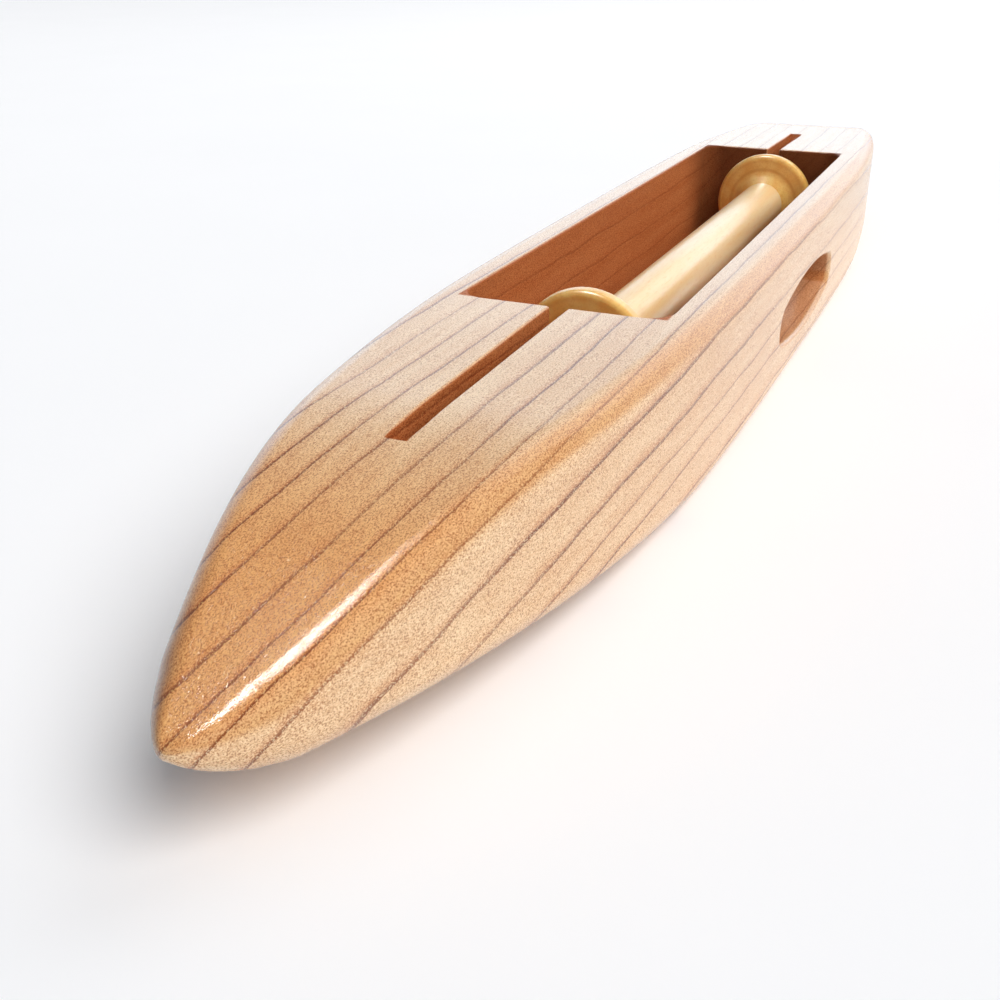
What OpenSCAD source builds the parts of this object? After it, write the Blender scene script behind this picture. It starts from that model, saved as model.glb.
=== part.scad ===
// Boat shuttle for hand weaving: a carved wooden body with a bobbin well,
// a steel spindle hinged in a slot behind the well, and a wooden bobbin that
// turns on the spindle. The free end of the spindle drops into a short kerf
// at the other end of the well. Millimetres, length along X, +Z up, origin on
// the floor under the middle of the body.

/* [Body] */
// Overall length of the shuttle, tip to tip
body_len = 260; // [256:1:290]
// Width across the middle of the body
body_w = 37; // [36:0.5:40]
// Height of the body, floor to deck
body_h = 22; // [21.8:0.1:24]
// How much of the half width the taper takes away towards a tip
taper = 0.8; // [0.78:0.01:0.83]
// Rounding of the long deck edges
deck_r = 3; // [2:0.1:3.2]
// Rounding of the long floor edges
floor_r = 2.5; // [2:0.1:3.4]
// Rounding of the edges along the noses
nose_r = 3.3; // [3:0.1:3.8]
// Fall of the deck between the well and a tip
nose_drop = 11; // [9:0.1:11.4]
// Rise of the keel between the well and a tip
keel_rise = 6.4; // [5:0.1:6.8]

/* [Bobbin well] */
// Length of the well
well_len = 113; // [112:0.5:116]
// Width of the well
well_w = 26; // [25:0.2:28]
// Rounding of the well's upright corners
well_r = 3.2; // [2:0.1:4]
// Thickness of wood left under the well
well_floor = 2.6; // [2.2:0.1:2.8]

/* [Slot and kerf] */
// Width of the hinge slot and of the end kerf
slot_w = 2.2; // [2.1:0.05:2.6]
// Length of the hinge slot along the deck
slot_len = 39.5; // [38:0.5:42]
// Radius of the cutter that leaves the hinge slot's floor
slot_cut_r = 60; // [58:1:62]
// Length of the end kerf along the deck
kerf_len = 22; // [21:0.5:23]
// Radius of the cutter that leaves the end kerf's floor
kerf_cut_r = 26; // [25.5:0.1:26.4]

/* [Thread eye] */
// Length of the thread eye in the front wall
eye_len = 39; // [32:0.5:42]
// Height of the thread eye
eye_h = 8.6; // [7:0.1:9]
// Distance of the eye's middle from the middle of the body
eye_x = 3; // [0:0.1:6]
// Height of the eye's middle above the floor
eye_z = 9.2; // [8.6:0.1:9.8]

/* [Spindle] */
// Diameter of the steel spindle
rod_d = 1.6; // [1.4:0.05:1.6]
// Depth of the spindle's axis below the deck
rod_depth = 9.3; // [9.1:0.1:9.6]
// Distance of the hinge pin behind the well
hinge_back = 11; // [10:0.5:13]
// How far the free end reaches into the kerf
rod_reach = 8; // [6:0.5:8.5]
// Diameter of the hinge pin
pin_d = 1.4; // [1.3:0.05:1.6]
// Radial running clearance on the pin and on the spindle
run_fit = 0.08; // [0.05:0.01:0.1]

/* [Bobbin] */
// Overall length of the bobbin
bobbin_len = 102; // [98:0.5:102]
// Gap between the hinge end of the well and the bobbin
bobbin_gap = 8; // [7.5:0.5:9.5]
// Diameter of the flanges
flange_d = 18; // [17:0.1:18.4]
// Thickness of a flange at its rim
flange_t = 2.6; // [2.2:0.1:3]
// Diameter of the barrel
barrel_d = 8; // [7.6:0.1:9]
// Bore through the barrel
barrel_bore = 5; // [4.4:0.1:5.4]

/* [Hidden] */
hl = body_len / 2;
axis_z = body_h - rod_depth;
well_x = well_len / 2;
hinge_x = -well_x - hinge_back;
bob_x0 = -well_x + bobbin_gap;
bob_x1 = bob_x0 + bobbin_len;
flange_hub = flange_t + 1.4;    // flange thickness where it meets the barrel
spigot = 7;                     // length of a flange's spigot inside the barrel
cap_s = 0.935;                  // where the blunt tip begins, as a share of hl
pin_y0 = -8;                    // blind end of the pin's hole
pin_y1 = 12.4;                  // outer end of the pin
plug_d = 4;
ring_n = 6;                     // facets in each rounded edge

// ---- body form, all as functions of s = |x| / hl ----
function smooth(t) = t <= 0 ? 0 : t >= 1 ? 1 : t * t * (3 - 2 * t);
function cap_u(s) = max(0, (s - cap_s) / (1 - cap_s));
function cap(s) = sqrt(max(0, 1 - cap_u(s) * cap_u(s)));
function half_w(s) = body_w / 2 * (1 - taper * pow(s, 3.6)) * cap(s);
function ramp(t) = t <= 0 ? 0 : t < 0.61 ? t * t / 0.8479 : (t - 0.305) / 0.695;
function raw_top(s) = body_h - 0.055 * nose_drop * smooth((s - 0.40) / 0.35)
                      - 0.945 * nose_drop * ramp((s - 0.67) / 0.33);
function raw_low(s) = keel_rise * pow(max(0, (s - 0.42) / 0.58), 1.2);
function mid_z(s) = (raw_top(s) + raw_low(s)) / 2 + 1.6 * cap_u(s) * cap_u(s);
function half_h(s) = (raw_top(s) - raw_low(s)) / 2 * cap(s);
function nose_k(s) = smooth((s - 0.42) / 0.4);
function r_top(s) = min(deck_r + (nose_r - deck_r) * nose_k(s),
                        0.92 * half_w(s), 0.92 * half_h(s));
function r_low(s) = min(floor_r + (nose_r - floor_r) * nose_k(s),
                        0.92 * half_w(s), 0.92 * half_h(s));

// One cross-section as points, starting at the front edge of the deck
// (-Y side) and running down, across the keel and back up.
function quarter(cy, cz, r, a0) =
    [for (i = [0 : ring_n]) let (a = a0 + 90 * i / ring_n)
        [cy + r * cos(a), cz + r * sin(a)]];
function section(s) =
    let (w = half_w(s), h = half_h(s), m = mid_z(s), a = r_top(s), b = r_low(s))
    concat(quarter(w - a, m + h - a, a, 0),
           quarter(-w + a, m + h - a, a, 90),
           quarter(-w + b, m - h + b, b, 180),
           quarter(w - b, m - h + b, b, 270));

// Stations along the body, closer together where the noses curve
half_s = concat([for (i = [0 : 3]) 0.1 * i],
                [for (i = [0 : 14]) 0.38 + 0.0383 * i],
                [for (i = [0 : 4]) 0.94 + 0.006 * i],
                [for (i = [1 : 6]) 1 - 0.036 * pow(1 - i / 7, 2)]);
stations = concat([for (i = [len(half_s) - 1 : -1 : 1]) -half_s[i]], half_s);

module hull_form() {
    n = 4 * (ring_n + 1);
    m = len(stations);
    pts = concat([for (s = stations) for (p = section(abs(s))) [s * hl, p[0], p[1]]],
                 [[-hl, 0, mid_z(1)], [hl, 0, mid_z(1)]]);
    sides = [for (j = [0 : m - 2]) for (i = [0 : n - 1])
        let (a = j * n + i, b = j * n + (i + 1) % n, c = a + n, d = b + n)
        each [[a, b, d], [a, d, c]]];
    end_a = [for (i = [0 : n - 1]) [m * n, (i + 1) % n, i]];
    end_b = [for (i = [0 : n - 1]) [m * n + 1, (m - 1) * n + i, (m - 1) * n + (i + 1) % n]];
    polyhedron(points = pts, faces = concat(sides, end_a, end_b), convexity = 6);
}

module rounded_plan(l, w, r) {
    square([l - 2 * r, w], center = true);
    square([l, w - 2 * r], center = true);
    for (x = [-1, 1], y = [-1, 1])
        translate([x * (l / 2 - r), y * (w / 2 - r)]) circle(r, $fn = 48);
}

// Oval of four arcs: two long ones and two small end ones
module oval(l, h, r) {
    a = l / 2; b = h / 2;
    R = (pow(a - r, 2) / (b - r) + r + b) / 2;
    xt = (a - r) * R / (R - r);
    intersection() {
        translate([0, b - R]) circle(R, $fn = 240);
        translate([0, R - b]) circle(R, $fn = 240);
        square([2 * xt, h * 2], center = true);
    }
    for (x = [-1, 1]) translate([x * (a - r), 0]) circle(r, $fn = 48);
}

// Thin round cutter standing on edge, axis along Y
module disc_cut(x, z, r) {
    translate([x, 0, z]) rotate([90, 0, 0])
        cylinder(h = slot_w, r = r, center = true, $fn = 180);
}

slot_end_x = -well_x - slot_len;
slot_c_x = -well_x - 1;
slot_end_z = raw_top(abs(slot_end_x) / hl);
slot_c_z = slot_end_z + sqrt(pow(slot_cut_r, 2) - pow(slot_end_x - slot_c_x, 2));
kerf_end_x = well_x + kerf_len;
kerf_c_x = well_x + 0.5;
kerf_end_z = raw_top(kerf_end_x / hl);
kerf_c_z = kerf_end_z + sqrt(pow(kerf_cut_r, 2) - pow(kerf_end_x - kerf_c_x, 2));

module shuttle_body() {
    color([0.86, 0.66, 0.47]) difference() {
        hull_form();
        // bobbin well
        translate([0, 0, well_floor]) linear_extrude(body_h)
            rounded_plan(well_len, well_w, well_r);
        // hinge slot, its floor left by a round cutter
        intersection() {
            disc_cut(slot_c_x, slot_c_z, slot_cut_r);
            translate([slot_end_x - 5, -5, 0]) cube([-well_x + 1 - slot_end_x + 5, 10, 60]);
        }
        // end kerf for the spindle's free end
        intersection() {
            disc_cut(kerf_c_x, kerf_c_z, kerf_cut_r);
            translate([well_x - 1, -5, 0]) cube([kerf_len + 6, 10, 60]);
        }
        // thread eye through the front wall
        translate([eye_x, -well_w / 2 + 2, eye_z]) rotate([90, 0, 0])
            linear_extrude(body_w / 2 - well_w / 2 + 6) oval(eye_len, eye_h, 2.6);
        // blind hole for the hinge pin, with a seat for its plug
        translate([hinge_x, pin_y0, axis_z]) rotate([-90, 0, 0])
            cylinder(h = 40, d = pin_d, $fn = 32);
        translate([hinge_x, pin_y1, axis_z]) rotate([-90, 0, 0])
            cylinder(h = 20, d = plug_d, $fn = 32);
    }
}

module pivot_pin() {
    color([0.62, 0.63, 0.65]) translate([hinge_x, pin_y0 + 0.1, axis_z]) rotate([-90, 0, 0])
        cylinder(h = pin_y1 - pin_y0 - 0.2, d = pin_d - 0.02, $fn = 32);
}

module pin_plug() {
    color([0.80, 0.58, 0.40]) intersection() {
        hull_form();
        translate([hinge_x, pin_y1, axis_z]) rotate([-90, 0, 0])
            cylinder(h = 20, d = plug_d - 0.02, $fn = 32);
    }
}

// Steel spindle: a round rod with a flattened, drilled eye at its hinge end
module spindle() {
    rod_end = well_x + rod_reach;
    color([0.70, 0.71, 0.73]) difference() {
        union() {
            translate([hinge_x, 0, axis_z]) rotate([0, 90, 0])
                cylinder(h = rod_end - hinge_x - rod_d / 2, d = rod_d, $fn = 32);
            translate([rod_end - rod_d / 2, 0, axis_z]) sphere(d = rod_d, $fn = 32);
            translate([hinge_x, 0, axis_z]) rotate([90, 0, 0])
                cylinder(h = rod_d - 0.2, r = 2.6, center = true, $fn = 40);
        }
        translate([hinge_x, 0, axis_z]) rotate([90, 0, 0])
            cylinder(h = 10, d = pin_d + 2 * run_fit, center = true, $fn = 32);
    }
}

module bobbin_barrel() {
    color([0.96, 0.88, 0.68])
    translate([bob_x0 + flange_hub, 0, axis_z]) rotate([0, 90, 0]) difference() {
        cylinder(h = bobbin_len - 2 * flange_hub, d = barrel_d, $fn = 64);
        translate([0, 0, -1]) cylinder(h = bobbin_len, d = barrel_bore, $fn = 48);
    }
}

// Flange turned with a rounded rim, a coned inner face and a spigot that
// glues into the barrel; its bore runs on the spindle
module flange() {
    rf = flange_d / 2;
    rs = barrel_bore / 2 - 0.02;
    rb = rod_d / 2 + run_fit;
    rotate([0, 90, 0]) rotate_extrude($fn = 96)
        polygon([[rb, 0], [rf - 0.9, 0], [rf - 0.3, 0.25], [rf, 0.8],
                 [rf, flange_t - 0.8], [rf - 0.3, flange_t - 0.25], [rf - 0.9, flange_t],
                 [barrel_d / 2 + 0.6, flange_hub - 0.1], [barrel_d / 2, flange_hub],
                 [rs, flange_hub], [rs, flange_hub + spigot], [rb, flange_hub + spigot]]);
}

module bobbin_flange_hinge_end() {
    color([0.86, 0.68, 0.38]) translate([bob_x0, 0, axis_z]) flange();
}

module bobbin_flange_free_end() {
    color([0.86, 0.68, 0.38]) translate([bob_x1, 0, axis_z]) mirror([1, 0, 0]) flange();
}

shuttle_body();
pivot_pin();
pin_plug();
spindle();
bobbin_barrel();
bobbin_flange_hinge_end();
bobbin_flange_free_end();
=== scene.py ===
import math

import bpy
import numpy as np
from mathutils import Matrix, Quaternion, Vector
from mathutils.geometry import delaunay_2d_cdt


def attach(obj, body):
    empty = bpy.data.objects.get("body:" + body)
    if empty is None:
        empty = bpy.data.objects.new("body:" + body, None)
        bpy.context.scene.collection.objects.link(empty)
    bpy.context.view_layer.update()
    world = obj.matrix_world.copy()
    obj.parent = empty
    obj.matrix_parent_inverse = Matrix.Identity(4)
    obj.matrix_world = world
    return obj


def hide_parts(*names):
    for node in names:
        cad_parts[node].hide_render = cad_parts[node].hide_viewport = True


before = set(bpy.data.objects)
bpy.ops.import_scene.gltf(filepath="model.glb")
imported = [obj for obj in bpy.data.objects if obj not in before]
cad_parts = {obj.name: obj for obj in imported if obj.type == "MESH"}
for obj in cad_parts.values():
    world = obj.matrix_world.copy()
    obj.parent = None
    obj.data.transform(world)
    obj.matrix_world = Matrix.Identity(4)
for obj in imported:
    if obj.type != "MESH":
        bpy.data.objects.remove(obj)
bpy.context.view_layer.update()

scene = bpy.context.scene
MM = 0.001
AMBIENT, CARD, SHINE, KEY = 0.26, 0.45, 1.60, 2.52

# ---------------------------------------------------------------- body form
# The same functions of s = |x| / half length as the CAD, in millimetres.
HL, W, H = 130.0, 37.0, 22.0
TAPER, DROP, RISE, CAP = 0.80, 11.0, 6.4, 0.935
DECK_R, FLOOR_R, NOSE_R = 3.0, 2.5, 3.3
WELL_X, WELL_Y, WELL_R, FLOOR = 56.5, 13.0, 3.2, 2.6
SLOT_H, SLOT_END, KERF_END = 1.1, -96.0, 78.5
EYE_X, EYE_Z, EYE_L, EYE_H, EYE_R = 3.0, 9.2, 39.0, 8.6, 2.6
HINGE_X, AXIS_Z = -67.5, 12.7
PIN_Y0, PIN_Y1, PLUG_R, PIN_R = -8.0, 12.4, 2.0, 0.70


def smooth(t):
    t = np.clip(t, 0, 1)
    return t * t * (3 - 2 * t)


def ramp(t):
    t = np.maximum(t, 0)
    return np.where(t < 0.61, t * t / 0.8479, (t - 0.305) / 0.695)


def raw_top(s):
    return H - 0.055 * DROP * smooth((s - 0.40) / 0.35) - 0.945 * DROP * ramp((s - 0.67) / 0.33)


def form(x):
    """Half width, top, low, top rounding and low rounding at x."""
    s = np.minimum(np.abs(np.asarray(x, float)) / HL, 1.0)
    u = np.maximum(0, (s - CAP) / (1 - CAP))
    c = np.sqrt(np.maximum(0, 1 - u * u))
    w = W / 2 * (1 - TAPER * s**3.6) * c
    top = raw_top(s)
    low = RISE * np.maximum(0, (s - 0.42) / 0.58) ** 1.2
    mid = (top + low) / 2 + 1.6 * u * u
    h = (top - low) / 2 * c
    k = smooth((s - 0.42) / 0.4)
    lim = np.minimum(0.92 * w, 0.92 * h)
    rt = np.minimum(DECK_R + (NOSE_R - DECK_R) * k, lim)
    rl = np.minimum(FLOOR_R + (NOSE_R - FLOOR_R) * k, lim)
    return w, mid + h, mid - h, rt, rl


slot_cx = -WELL_X - 1
slot_r = 60.0
slot_cz = float(raw_top(abs(SLOT_END) / HL)) + math.sqrt(slot_r**2 - (SLOT_END - slot_cx) ** 2)
kerf_cx = WELL_X + 0.5
kerf_r = 26.0
kerf_cz = float(raw_top(KERF_END / HL)) + math.sqrt(kerf_r**2 - (KERF_END - kerf_cx) ** 2)


def slot_z(x):
    return slot_cz - np.sqrt(slot_r**2 - (np.asarray(x, float) - slot_cx) ** 2)


def kerf_z(x):
    return kerf_cz - np.sqrt(kerf_r**2 - (np.asarray(x, float) - kerf_cx) ** 2)


# ---------------------------------------------------------------- mesh store
class Store:
    """Collects faces with a normal at every corner, then makes one mesh."""

    def __init__(self):
        self.v, self.n, self.f, self.count = [], [], [], 0

    def add(self, pts, nrm, faces):
        pts, nrm = np.asarray(pts, float), np.asarray(nrm, float)
        nrm = nrm / np.maximum(np.linalg.norm(nrm, axis=1, keepdims=True), 1e-12)
        self.v.append(pts)
        self.n.append(nrm)
        self.f.extend([tuple(i + self.count for i in f) for f in faces])
        self.count += len(pts)

    def grid(self, P, N, flip=False, closed=False):
        """P and N are rows x columns x 3."""
        P, N = np.asarray(P, float), np.asarray(N, float)
        r, c = P.shape[:2]
        faces = []
        for i in range(r - 1):
            for j in range(c if closed else c - 1):
                k = (j + 1) % c
                q = (i * c + j, i * c + k, (i + 1) * c + k, (i + 1) * c + j)
                faces.append(q[::-1] if flip else q)
        self.add(P.reshape(-1, 3), N.reshape(-1, 3), faces)

    def make(self, name, origin=(0, 0, 0)):
        v = np.vstack(self.v)
        n = np.vstack(self.n)
        _, first, back = np.unique(np.round(v, 4) + 0.0, axis=0, return_index=True, return_inverse=True)
        back = back.reshape(-1)
        verts = v[first]
        faces, normals = [], []
        for f in self.f:
            g, m = [], []
            for i in f:
                b = int(back[i])
                if b in g:
                    continue
                g.append(b)
                m.append(i)
            if len(g) < 3:
                continue
            a = verts[g]
            area = np.zeros(3)
            for k in range(1, len(g) - 1):
                area += np.cross(a[k] - a[0], a[k + 1] - a[0])
            if np.linalg.norm(area) < 1e-7:
                continue
            if np.dot(area, n[m].sum(0)) < 0:
                g, m = g[::-1], m[::-1]
            faces.append(g)
            normals.extend(n[m])
        mesh = bpy.data.meshes.new(name)
        mesh.from_pydata([tuple((p - np.array(origin)) * MM) for p in verts], [], faces)
        mesh.polygons.foreach_set("use_smooth", [True] * len(mesh.polygons))
        mesh.update()
        mesh.normals_split_custom_set([tuple(x) for x in normals])
        o = bpy.data.objects.new(name, mesh)
        o.location = Vector(origin) * MM
        scene.collection.objects.link(o)
        return o


def inside(pts, loop):
    """Which points lie inside the closed loop."""
    x, y = pts[:, 0], pts[:, 1]
    a, b = loop, np.roll(loop, -1, 0)
    hit = np.zeros(len(pts), bool)
    for (x0, y0), (x1, y1) in zip(a, b):
        if y0 == y1:
            continue
        cross = (y > y0) != (y > y1)
        hit ^= cross & (x < (x1 - x0) * (y - y0) / (y1 - y0) + x0)
    return hit


def triangulate(outer, holes, extra=()):
    """Triangles of the outer loop less the holes. Returns points and faces."""
    pts, edges = [], []
    for loop in [outer, *holes]:
        n0 = len(pts)
        pts += [tuple(p) for p in loop]
        edges += [(n0 + i, n0 + (i + 1) % len(loop)) for i in range(len(loop))]
    pts += [tuple(p) for p in extra]
    got = delaunay_2d_cdt([Vector(p) for p in pts], edges, [], 0, 1e-6, False)
    v = np.array([tuple(p) for p in got[0]])
    f = np.array([tuple(t) for t in got[2]])
    mid = v[f].mean(1)
    keep = inside(mid, np.asarray(outer))
    for h in holes:
        keep &= ~inside(mid, np.asarray(h))
    return v, [tuple(t) for t in f[keep]]


def arc(cx, cy, r, a0, a1, n, sign=1):
    """Points of an arc in degrees with normals that point away from the centre."""
    t = np.radians(np.linspace(a0, a1, n + 1))
    d = np.stack([np.cos(t), np.sin(t)], 1)
    return np.stack([cx + r * d[:, 0], cy + r * d[:, 1]], 1), sign * d


def line(p, q, n, normal):
    t = np.linspace(0, 1, n + 1)[:, None]
    pts = np.array(p, float) * (1 - t) + np.array(q, float) * t
    return pts, np.tile(np.array(normal, float), (n + 1, 1))


# ---------------------------------------------------------------- outer skin
B = Store()
DECK_A, DECK_B = -99.0, 81.0      # the deck between these is cut by the well
EYE_A, EYE_B = -20.0, 26.0        # the front side between these is cut by the eye
PLUG_A, PLUG_B = -72.0, -63.0     # the back side between these is cut by the plug

phi = np.radians(np.linspace(0, 89.4, 30))
cap_x = HL * (CAP + (1 - CAP) * np.sin(phi))
xs = np.concatenate([np.arange(-56, 57, 2.0), np.arange(57, 121, 1.0), -np.arange(57, 121, 1.0),
                     cap_x, -cap_x, [DECK_A, DECK_B, EYE_A, EYE_B, PLUG_A, PLUG_B]])
xs = np.unique(np.round(xs, 5))
xs = xs[np.concatenate([[True], np.diff(xs) > 0.02])]
ND, NA, NS = 12, 10, 10


def ring(x):
    """Section points and in-plane normals at each x, from the back deck edge round."""
    w, top, low, a, b = form(x)
    w, top, low, a, b = (np.asarray(q)[:, None] for q in (w, top, low, a, b))
    one = np.ones_like(w)

    def piece(y, z, ny, nz):
        return y, z, one * ny, one * nz

    t = np.linspace(0, 1, ND + 1)[None]
    s = np.linspace(0, 1, NS + 1)[None]

    def rad(a0):
        return np.radians(a0 + 90 * np.linspace(0, 1, NA + 1))[None]

    parts = [piece((w - a) * (1 - 2 * t), top * np.ones_like(t), 0 * t, 1 + 0 * t)]
    q = rad(90); parts.append(piece(-w + a + a * np.cos(q), top - a + a * np.sin(q), np.cos(q), np.sin(q)))
    parts.append(piece(-w * np.ones_like(s), (top - a) * (1 - s) + (low + b) * s, -1 + 0 * s, 0 * s))
    q = rad(180); parts.append(piece(-w + b + b * np.cos(q), low + b + b * np.sin(q), np.cos(q), np.sin(q)))
    parts.append(piece((w - b) * (2 * t - 1), low * np.ones_like(t), 0 * t, -1 + 0 * t))
    q = rad(270); parts.append(piece(w - b + b * np.cos(q), low + b + b * np.sin(q), np.cos(q), np.sin(q)))
    parts.append(piece(w * np.ones_like(s), (low + b) * (1 - s) + (top - a) * s, 1 + 0 * s, 0 * s))
    q = rad(0); parts.append(piece(w - a + a * np.cos(q), top - a + a * np.sin(q), np.cos(q), np.sin(q)))
    return parts


def skin(x):
    """For each strip of the section, points and full normals."""
    x = np.asarray(x, float)
    e = 1e-3
    lo = np.clip(x - e, -HL, HL)
    hi = np.clip(x + e, -HL, HL)
    here, p0, p1 = ring(x), ring(lo), ring(hi)
    out = []
    for (y, z, ny, nz), (y0, z0, _, _), (y1, z1, _, _) in zip(here, p0, p1):
        d = (hi - lo)[:, None]
        nx = -(ny * (y1 - y0) / d + nz * (z1 - z0) / d)
        P = np.stack([x[:, None] + 0 * y, y, z], 2)
        out.append((P, np.stack([nx, ny, nz], 2)))
    return out


strips = skin(xs)
gaps = {0: (DECK_A, DECK_B), 2: (EYE_A, EYE_B), 6: (PLUG_A, PLUG_B)}
for k, (P, N) in enumerate(strips):
    if k in gaps:
        a, b = gaps[k]
        i, j = int(np.argmin(abs(xs - a))), int(np.argmin(abs(xs - b)))
        B.grid(P[: i + 1], N[: i + 1])
        B.grid(P[j:], N[j:])
    else:
        B.grid(P, N)
for side in (0, -1):  # the tips
    loop = np.vstack([P[side] for P, _ in strips])
    nrm = np.vstack([N[side] for _, N in strips])
    sx = 1 if side else -1
    tip = [sx * HL, 0, float(form(np.array([HL]))[1][0])]
    P = np.stack([loop, np.tile(tip, (len(loop), 1))])
    N = np.stack([nrm, np.tile([sx, 0, 0], (len(loop), 1))])
    B.grid(P, N)

# ---------------------------------------------------------------- well, slot, kerf
RV, RC, LIP = 0.45, 0.25, 0.38


def half_outline():
    """The upper half of the cut's outline from the slot's end to the kerf's end."""
    segs = []
    y0 = SLOT_H - RC
    segs.append(("slot_end", *line((SLOT_END, 0), (SLOT_END, y0), 2, (-1, 0))))
    segs.append(("slot", *arc(SLOT_END + RC, SLOT_H - RC, RC, 180, 90, 5)))
    segs.append(("slot_wall", *line((SLOT_END + RC, SLOT_H), (-WELL_X - RV, SLOT_H), 44, (0, 1))))
    segs.append(("slot", *arc(-WELL_X - RV, SLOT_H + RV, RV, -90, 0, 6, -1)))
    segs.append(("well", *line((-WELL_X, SLOT_H + RV), (-WELL_X, WELL_Y - WELL_R), 7, (-1, 0))))
    segs.append(("well", *arc(-WELL_X + WELL_R, WELL_Y - WELL_R, WELL_R, 180, 90, 12)))
    segs.append(("long", *line((-WELL_X + WELL_R, WELL_Y), (WELL_X - WELL_R, WELL_Y), 62, (0, 1))))
    segs.append(("well", *arc(WELL_X - WELL_R, WELL_Y - WELL_R, WELL_R, 90, 0, 12)))
    segs.append(("well", *line((WELL_X, WELL_Y - WELL_R), (WELL_X, SLOT_H + RV), 7, (1, 0))))
    segs.append(("kerf", *arc(WELL_X + RV, SLOT_H + RV, RV, 180, 270, 6, -1)))
    segs.append(("kerf_wall", *line((WELL_X + RV, SLOT_H), (KERF_END - RC, SLOT_H), 26, (0, 1))))
    segs.append(("kerf", *arc(KERF_END - RC, SLOT_H - RC, RC, 90, 0, 5)))
    segs.append(("kerf_end", *line((KERF_END, y0), (KERF_END, 0), 2, (1, 0))))
    return segs


def lip(x):
    """Rounding of the cut's rim, which dies away at the slot's and kerf's ends."""
    return LIP * np.clip((x - SLOT_END) / 3.0, 0, 1) * np.clip((KERF_END - x) / 2.5, 0, 1)


def deck(x):
    return form(x)[1]


def deck_slope(x):
    return (deck(np.asarray(x) + 1e-3) - deck(np.asarray(x) - 1e-3)) / 2e-3


def mirror(p, n):
    return p * [1, -1], n * [1, -1]


segs = half_outline()
rim = []
for sgn in (1, -1):
    for tag, p, n in segs:
        if sgn < 0:
            p, n = mirror(p, n)
        f = lip(p[:, 0])[:, None]
        rows_p, rows_n = [], []
        for th in np.radians(np.linspace(0, 90, 6)):
            q = p + n * f * (1 - math.sin(th))
            z = deck(q[:, 0]) - f[:, 0] * (1 - math.cos(th))
            rows_p.append(np.column_stack([q, z]))
            g = deck_slope(q[:, 0])
            up = np.column_stack([-g, 0 * g, 1 + 0 * g])
            rows_n.append(math.cos(th) * up + math.sin(th) * np.column_stack([-n, 0 * g]))
        B.grid(rows_p, rows_n)
        if sgn > 0:
            rim.append((tag, p + n * f))
half = np.vstack([p for _, p in rim])
half = half[np.concatenate([[True], np.linalg.norm(np.diff(half, axis=0), axis=1) > 1e-6])]
low_half = (half * [1, -1])[::-1][1:-1]
cut_loop = np.vstack([half, low_half])

ia, ib = int(np.argmin(abs(xs - DECK_A))), int(np.argmin(abs(xs - DECK_B)))
P0 = strips[0][0]
edge_a = P0[ia][::-1][:, :2]              # from -y to +y at DECK_A
edge_b = P0[ib][:, :2]                    # from +y to -y at DECK_B
back = P0[ia + 1: ib, 0, :2]              # the +y edge, growing x
front = P0[ia + 1: ib, -1, :2][::-1]      # the -y edge, falling x
outer = np.vstack([edge_a, back, edge_b, front])
extra = []
for x in xs[ia + 1: ib]:
    w, _, _, a, _ = form(np.array([x]))
    lim = float(w[0] - a[0])
    for y in np.arange(-14.4, 14.5, 1.8):
        if abs(y) < lim - 0.5:
            extra.append((x, y))
extra = np.array(extra)
grown = cut_loop + 0.0
keep = ~inside(extra, grown)
d = np.min(np.linalg.norm(extra[:, None] - cut_loop[None], axis=2), axis=1)
extra = extra[keep & (d > 0.6)]
v, f = triangulate(outer, [cut_loop], extra)
g = deck_slope(v[:, 0])
B.add(np.column_stack([v, deck(v[:, 0])]), np.column_stack([-g, 0 * g, 1 + 0 * g]), f)

# walls of the slot and kerf, and their floors
z_slot, z_kerf = float(slot_z(-WELL_X)), float(kerf_z(WELL_X))
for sgn in (1, -1):
    for tag, p, n in segs:
        floor_z = slot_z if tag.startswith("slot") else kerf_z if tag.startswith("kerf") else None
        if floor_z is None:
            continue
        if sgn < 0:
            p, n = mirror(p, n)
        zt = deck(p[:, 0]) - lip(p[:, 0])
        zb = np.minimum(floor_z(p[:, 0]), zt)
        N = np.column_stack([-n, np.zeros(len(n))])
        if tag == "slot_wall":
            ok = zt - zb > 1e-6
            top_e = np.column_stack([p[ok, 0], zt[ok]])
            bot_e = np.column_stack([p[ok, 0], zb[ok]])[::-1]
            hole, hn = arc(HINGE_X, AXIS_Z, PIN_R + 0.02, 0, 360, 28)
            hole, hn = hole[:-1], hn[:-1]
            v, f = triangulate(np.vstack([top_e, bot_e]), [hole])
            B.add(np.column_stack([v[:, 0], np.full(len(v), sgn * SLOT_H), v[:, 1]]),
                  np.tile([0, -sgn, 0], (len(v), 1)), f)
            far = PIN_Y1 if sgn > 0 else PIN_Y0
            rows = [np.column_stack([hole[:, 0], np.full(len(hole), y), hole[:, 1]])
                    for y in (sgn * SLOT_H, far)]
            nn = np.column_stack([-hn[:, 0], 0 * hn[:, 0], -hn[:, 1]])
            B.grid(rows, [nn, nn], closed=True)
            if sgn < 0:
                B.grid([rows[1], np.tile([HINGE_X, far, AXIS_Z], (len(hole), 1))],
                       [np.tile([0, 1, 0], (len(hole), 1))] * 2, closed=True)
        else:
            rows = [np.column_stack([p, zt * (1 - t) + zb * t]) for t in np.linspace(0, 1, 4)]
            B.grid(rows, [N] * 4)

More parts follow.
